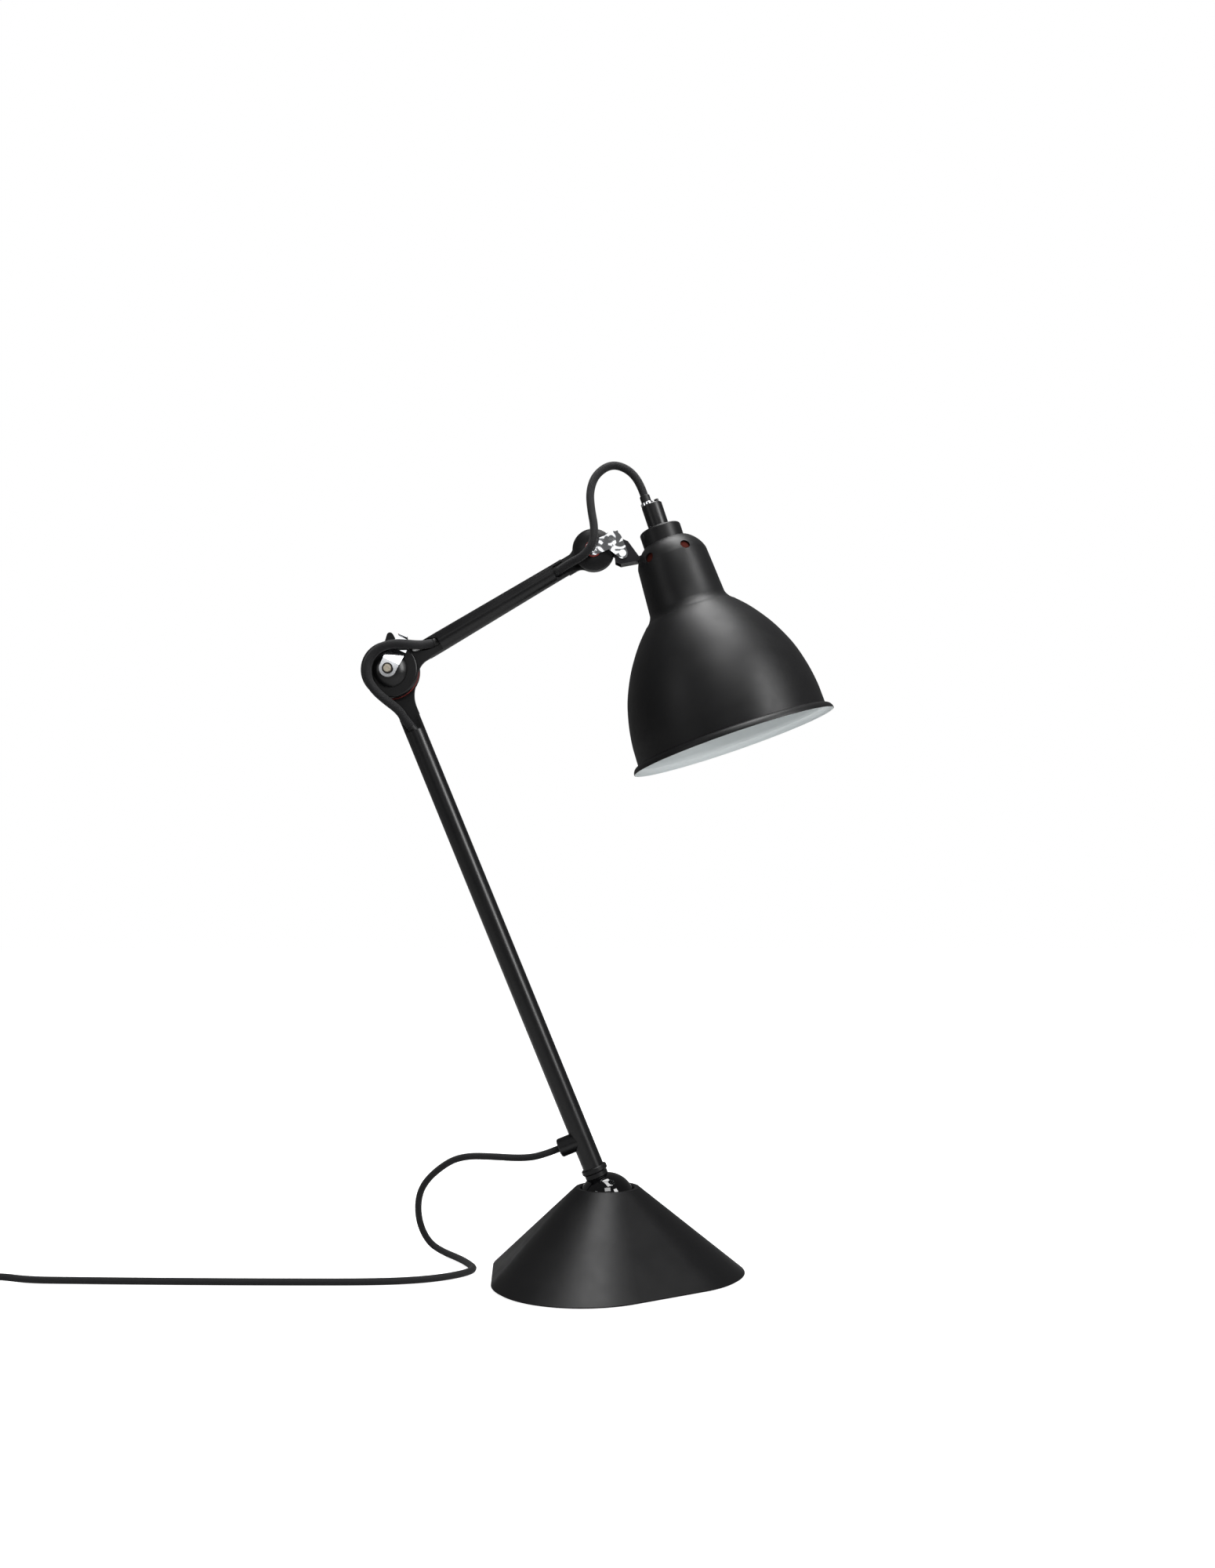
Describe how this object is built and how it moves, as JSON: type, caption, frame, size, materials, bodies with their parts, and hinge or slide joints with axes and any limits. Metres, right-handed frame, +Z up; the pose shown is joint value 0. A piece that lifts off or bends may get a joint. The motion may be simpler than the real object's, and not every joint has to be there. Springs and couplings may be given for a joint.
{
  "type": "jointed table lamp",
  "caption": "Black two-arm table lamp with a bell shade, a ball joint in a conical base, an elbow joint, braided cord, in-line switch and two-pin plug.",
  "frame": {"origin": "on the floor under the centre of the base's ball", "axes": "+X from the stem towards the shade, +Y away from the viewer, +Z up"},
  "size_m": [0.7392, 0.1812, 0.5434],
  "materials": {
    "black_paint": "matte",
    "ball_enamel": "gloss",
    "cast_weight": "matte",
    "plain_steel": "satin",
    "bright_steel": "polished",
    "brass": "satin",
    "plug_pin_metal": "polished",
    "red_fibre": "matte",
    "foot_rubber": "matte",
    "black_rubber": "matte",
    "cord_braid": "matte",
    "black_moulding": "satin",
    "holder_moulding": "matte",
    "bulb_glass": "gloss"
  },
  "bodies": {
    "base": {"base_shell": "black_paint", "base_weight": "cast_weight", "base_pad": "foot_rubber", "base_screws": "plain_steel", "socket_housing": "plain_steel", "housing_screws": "plain_steel", "socket_springs": "plain_steel", "tension_screw": "plain_steel", "ball_retainer": "plain_steel", "mains_cord_floor": "cord_braid", "switch_base": "black_moulding", "switch_cover": "black_moulding", "switch_terminals": "brass", "mains_cord_coil": "cord_braid", "plug_boot": "black_moulding", "plug_body": "black_moulding", "plug_pins": "plug_pin_metal"},
    "socket_cup": {"socket_cup": "plain_steel", "mains_cord_drop": "cord_braid"},
    "ball": {"ball": "ball_enamel", "mains_cord_bridge": "cord_braid"},
    "stem": {"stem_collar": "black_paint", "stem_tube": "black_paint", "cord_outlet": "black_paint", "outlet_bush": "black_rubber", "mains_cord_lead": "cord_braid", "stem_lead": "cord_braid", "stem_knuckle": "black_paint", "stem_boot": "black_rubber"},
    "arm": {"arm_knuckle": "black_paint", "arm_boot": "black_rubber", "elbow_washer": "red_fibre", "elbow_clip": "bright_steel", "elbow_bolt": "brass", "elbow_lever": "black_paint", "elbow_nut": "bright_steel", "elbow_cord": "cord_braid", "arm_tube": "black_paint", "arm_lead": "cord_braid", "head_knuckle": "black_paint", "arm_top_boot": "black_rubber", "head_cord": "cord_braid"},
    "head": {"head_washers": "red_fibre", "head_stirrup": "bright_steel", "head_bolt": "bright_steel", "head_nut": "bright_steel", "bracket_rivets": "bright_steel", "shade_bracket": "black_paint", "shade_shell": "black_paint", "shade_cap": "black_paint", "cord_gland": "black_moulding", "gland_ring": "bright_steel", "head_boot": "black_rubber", "holder_nipple": "plain_steel", "lampholder_shell": "black_moulding", "lampholder_core": "holder_moulding", "bulb_cap": "brass", "bulb_glass": "bulb_glass"},
    "rocker": {"switch_rocker": "black_moulding"}
  },
  "joints": [
    {"name": "base_swivel", "type": "hinge", "parent": "base", "child": "socket_cup", "pos_m": [0, 0, 0.0491], "axis": [0, 0, 1], "range_deg": [-90, 90], "deforming": ["mains_cord_drop"]},
    {"name": "base_tilt", "type": "hinge", "parent": "socket_cup", "child": "ball", "pos_m": [0, 0, 0.0491], "axis": [0, 1, 0], "range_deg": [-13, 58], "deforming": ["mains_cord_bridge"]},
    {"name": "stem_turn", "type": "hinge", "parent": "ball", "child": "stem", "pos_m": [0, 0, 0.0491], "axis": [-0.3785, 0, 0.9256], "range_deg": [-60, 60], "deforming": ["mains_cord_lead"]},
    {"name": "elbow", "type": "hinge", "parent": "stem", "child": "arm", "pos_m": [-0.14492, 0, 0.40352], "axis": [0, 1, 0], "range_deg": [-70, 38], "deforming": ["elbow_cord"]},
    {"name": "head_tilt", "type": "hinge", "parent": "arm", "child": "head", "pos_m": [-0.00921, 0, 0.48422], "axis": [0, -1, 0], "range_deg": [-45, 60], "deforming": ["head_cord"]},
    {"name": "switch_rock", "type": "hinge", "parent": "base", "child": "rocker", "pos_m": [-0.437, -0.0246, 0.0146], "axis": [0, 1, 0], "range_deg": [-8, 8]}
  ]
}
